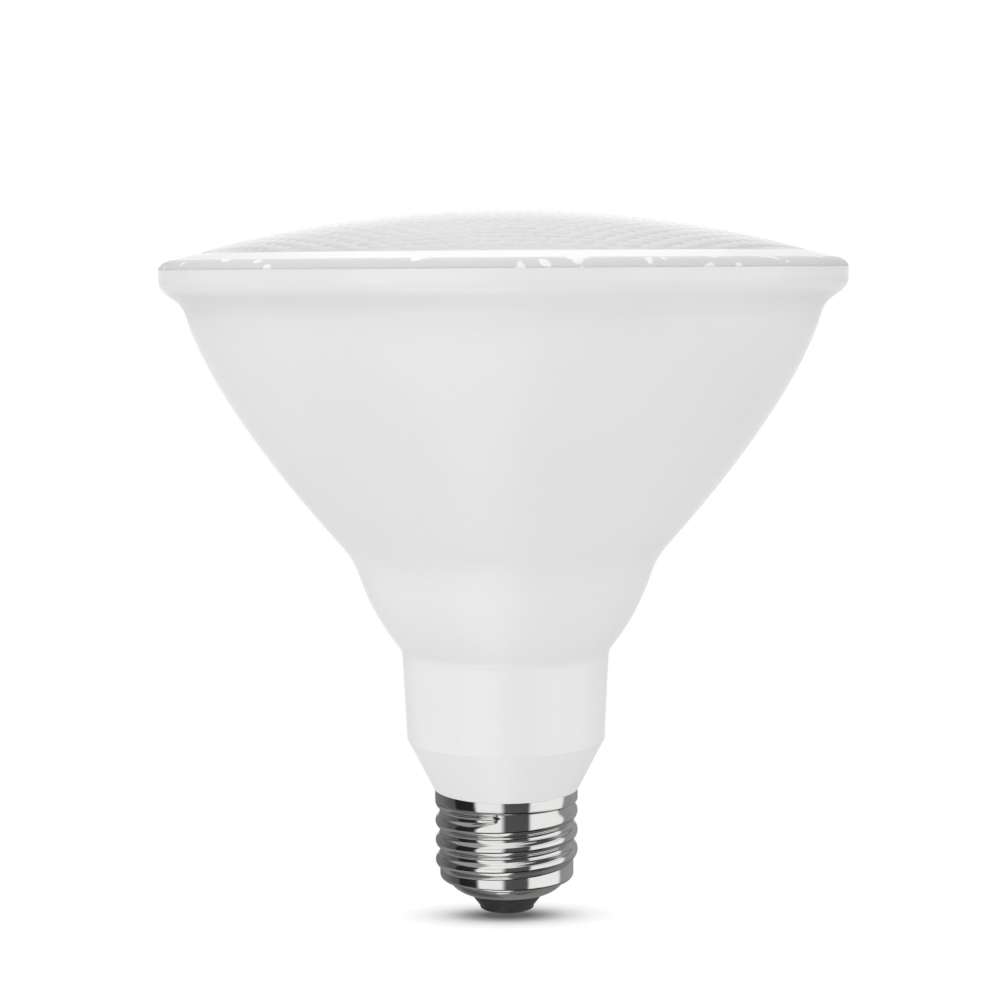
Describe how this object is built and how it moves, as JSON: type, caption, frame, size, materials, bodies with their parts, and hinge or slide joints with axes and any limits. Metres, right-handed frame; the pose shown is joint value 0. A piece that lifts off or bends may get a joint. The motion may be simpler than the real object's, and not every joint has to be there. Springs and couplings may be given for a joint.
{
  "type": "par spotlight bulb",
  "caption": "Reflector spot lamp with a white flared housing, a clear patterned lens dome and a metal screw base with a right-hand thread.",
  "frame": {"origin": "tip of the centre contact, on the lamp's axis", "axes": "+Z along the lamp's axis from the contact to the crown of the lens; +X and +Y across it, with -Y the side that the picture shows"},
  "size_m": [0.122, 0.122, 0.1272],
  "materials": {
    "white_housing": "satin white moulding",
    "clear_lens": "clear, patterned",
    "seal": "matt",
    "mirror_coat": "vacuum-metallised",
    "sink_aluminium": "plain sheet",
    "thermal_pad": "matt",
    "cob_aluminium": "bright",
    "phosphor": "soft gloss",
    "holder_plastic": "matt white",
    "screw_steel": "plated",
    "board_laminate": "solder resist",
    "can_sleeve": "shrink sleeve",
    "film_case": "moulded case",
    "ferrite": "fired",
    "component_black": "moulded",
    "copper_wire": "enamelled",
    "resistor_coat": "coated",
    "varistor_coat": "coated",
    "lead_red": "insulation",
    "lead_black": "insulation",
    "shell_metal": "nickel plate",
    "insulator_black": "moulded",
    "contact_metal": "plated"
  },
  "bodies": {
    "root": {"housing": "white_housing", "lens": "clear_lens", "lens_gasket": "seal", "reflector": "mirror_coat", "heat_sink": "sink_aluminium", "thermal_pad": "thermal_pad", "cob_board": "cob_aluminium", "cob_phosphor": "phosphor", "cob_holder": "holder_plastic", "holder_screws": "screw_steel", "driver_board": "board_laminate", "bulk_capacitor": "can_sleeve", "output_capacitor": "can_sleeve", "film_capacitor": "film_case", "inductor_core": "ferrite", "inductor_bobbin": "component_black", "inductor_winding": "copper_wire", "noise_choke": "ferrite", "fuse_resistor": "resistor_coat", "varistor": "varistor_coat", "bridge_rectifier": "component_black", "driver_chip": "component_black", "output_diode": "component_black", "chip_resistors": "component_black", "lead_positive": "lead_red", "lead_negative": "lead_black", "lead_live": "lead_red", "lead_neutral": "lead_black", "screw_shell": "shell_metal", "insulator": "insulator_black", "centre_contact": "contact_metal"}
  },
  "joints": []
}
